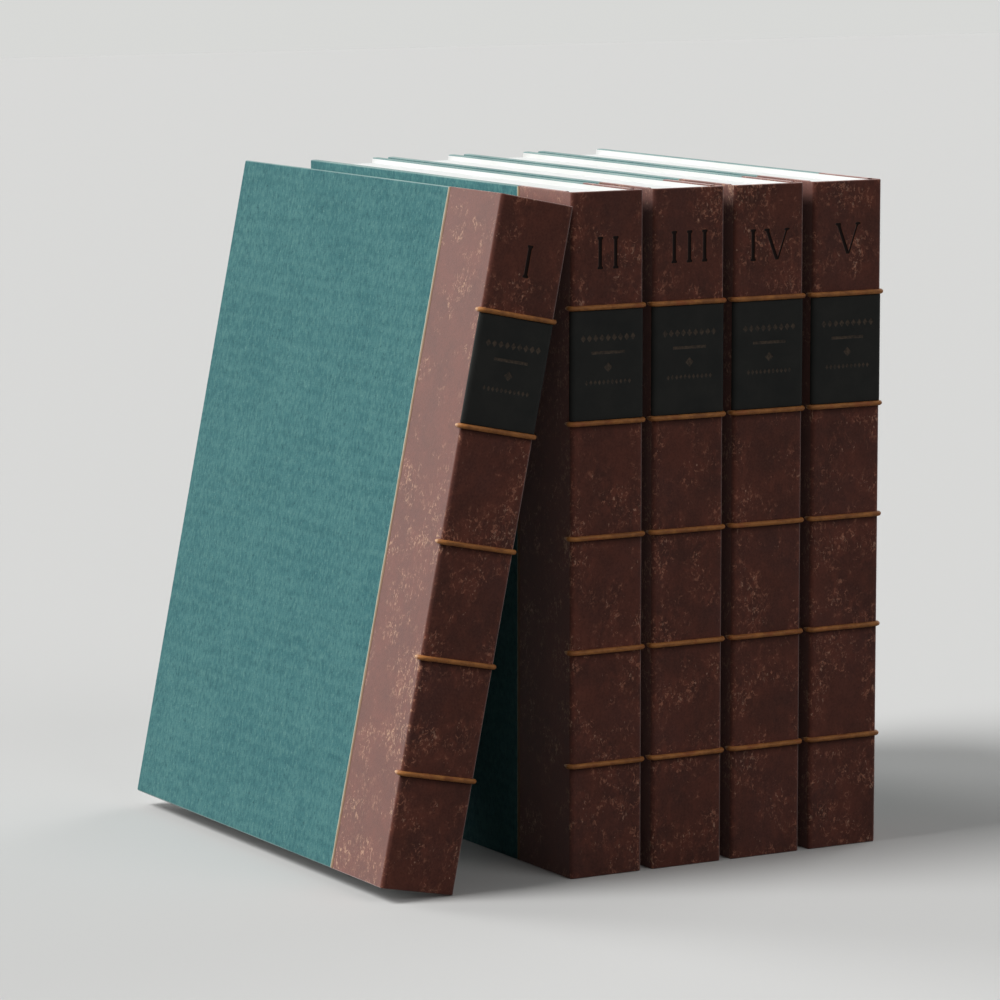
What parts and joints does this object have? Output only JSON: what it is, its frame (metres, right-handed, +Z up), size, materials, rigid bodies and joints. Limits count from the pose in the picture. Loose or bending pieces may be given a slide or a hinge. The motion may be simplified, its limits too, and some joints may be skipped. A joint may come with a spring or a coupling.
{
  "type": "row of books",
  "caption": "Row of matching hardcover books with leather backs and cloth sides, numbered on the spine, the first leaning on the others; the outer covers open.",
  "frame": {"origin": "on the surface that the books stand on, under the middle of the row's box", "axes": "+Z up along the standing books' height, the spines face -Y, and the row runs along +X from the leaning book 1 to book 5"},
  "size_m": [0.2141, 0.2054, 0.251],
  "materials": {
    "page_paper": "smooth white leaves",
    "endpaper": "plain white paper",
    "millboard": "grey pressed board",
    "spine_card": "grey card",
    "book_cloth": "woven teal book cloth",
    "leather": "speckled brown calf",
    "label_leather": "matt black",
    "gilt": "gilt strip",
    "gilt_cord": "gilt cord"
  },
  "bodies": {
    "row": {"book_1_front_board": "millboard", "book_1_front_cloth": "book_cloth", "book_1_front_gilt_line": "gilt", "book_1_front_pastedown": "endpaper", "book_1_leather": "leather", "book_1_pages": "page_paper", "book_1_raised_bands": "gilt_cord", "book_1_spine_card": "spine_card", "book_1_title_label": "label_leather", "book_2_back_cloth": "book_cloth", "book_2_boards": "millboard", "book_2_front_cloth": "book_cloth", "book_2_gilt_lines": "gilt", "book_2_leather": "leather", "book_2_pages": "page_paper", "book_2_pastedowns": "endpaper", "book_2_raised_bands": "gilt_cord", "book_2_spine_card": "spine_card", "book_2_title_label": "label_leather", "book_3_back_cloth": "book_cloth", "book_3_boards": "millboard", "book_3_front_cloth": "book_cloth", "book_3_gilt_lines": "gilt", "book_3_leather": "leather", "book_3_pages": "page_paper", "book_3_pastedowns": "endpaper", "book_3_raised_bands": "gilt_cord", "book_3_spine_card": "spine_card", "book_3_title_label": "label_leather", "book_4_back_cloth": "book_cloth", "book_4_boards": "millboard", "book_4_front_cloth": "book_cloth", "book_4_gilt_lines": "gilt", "book_4_leather": "leather", "book_4_pages": "page_paper", "book_4_pastedowns": "endpaper", "book_4_raised_bands": "gilt_cord", "book_4_spine_card": "spine_card", "book_4_title_label": "label_leather", "book_5_back_board": "millboard", "book_5_back_cloth": "book_cloth", "book_5_back_gilt_line": "gilt", "book_5_back_pastedown": "endpaper", "book_5_leather": "leather", "book_5_pages": "page_paper", "book_5_raised_bands": "gilt_cord", "book_5_spine_card": "spine_card", "book_5_title_label": "label_leather"},
    "cover_1": {"book_1_back_board": "millboard", "book_1_back_cloth": "book_cloth", "book_1_back_gilt_line": "gilt", "book_1_back_leather": "leather", "book_1_back_pastedown": "endpaper"},
    "cover_5": {"book_5_front_board": "millboard", "book_5_front_cloth": "book_cloth", "book_5_front_gilt_line": "gilt", "book_5_front_leather": "leather", "book_5_front_pastedown": "endpaper"}
  },
  "joints": [
    {"name": "cover_1_fold", "type": "hinge", "parent": "row", "child": "cover_1", "pos_m": [-0.0822, -0.09524, 0.12847], "axis": [0.1988, 0, 0.98], "range_deg": [0, 150]},
    {"name": "cover_5_fold", "type": "hinge", "parent": "row", "child": "cover_5", "pos_m": [0.1056, -0.09331, 0.125], "axis": [0, 0, -1], "range_deg": [0, 150]}
  ]
}
